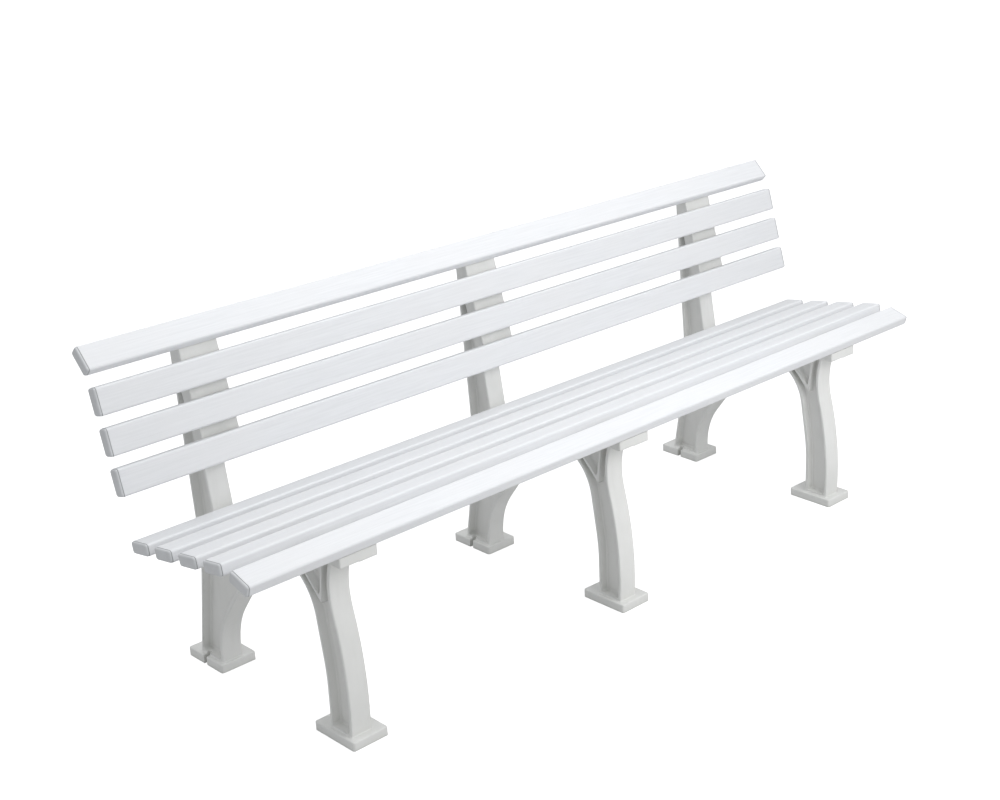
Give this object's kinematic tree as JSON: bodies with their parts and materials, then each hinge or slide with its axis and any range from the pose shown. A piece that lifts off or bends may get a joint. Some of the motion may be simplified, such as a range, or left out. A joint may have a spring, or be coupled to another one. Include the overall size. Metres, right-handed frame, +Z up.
{
  "type": "park bench",
  "caption": "Park bench with a slatted seat and leaning slatted back on moulded supports with curved legs and flat feet.",
  "frame": {"origin": "on the floor, under the middle of the bench's length and depth", "axes": "+X along the slats to the right of the picture, +Y from the front of the seat to the back, +Z up"},
  "size_m": [2.012, 0.6048, 0.7866],
  "materials": {
    "slat_plastic": "satin white extruded plastic",
    "cap_plastic": "satin white moulded plastic, fine grain",
    "support_plastic": "off-white glass-filled moulded plastic, fine grain",
    "screw_steel": "plain stainless steel"
  },
  "bodies": {
    "root": {"seat_slat_1": "slat_plastic", "seat_slat_2": "slat_plastic", "seat_slat_3": "slat_plastic", "seat_slat_4": "slat_plastic", "seat_slat_front": "slat_plastic", "back_slat_1": "slat_plastic", "back_slat_2": "slat_plastic", "back_slat_3": "slat_plastic", "back_slat_top": "slat_plastic", "seat_cap_1_left": "cap_plastic", "seat_cap_1_right": "cap_plastic", "seat_cap_2_left": "cap_plastic", "seat_cap_2_right": "cap_plastic", "seat_cap_3_left": "cap_plastic", "seat_cap_3_right": "cap_plastic", "seat_cap_4_left": "cap_plastic", "seat_cap_4_right": "cap_plastic", "seat_cap_front_left": "cap_plastic", "seat_cap_front_right": "cap_plastic", "back_cap_1_left": "cap_plastic", "back_cap_1_right": "cap_plastic", "back_cap_2_left": "cap_plastic", "back_cap_2_right": "cap_plastic", "back_cap_3_left": "cap_plastic", "back_cap_3_right": "cap_plastic", "back_cap_top_left": "cap_plastic", "back_cap_top_right": "cap_plastic", "support_left": "support_plastic", "support_middle": "support_plastic", "support_right": "support_plastic", "seat_screws": "screw_steel", "back_screws": "screw_steel"}
  },
  "joints": []
}
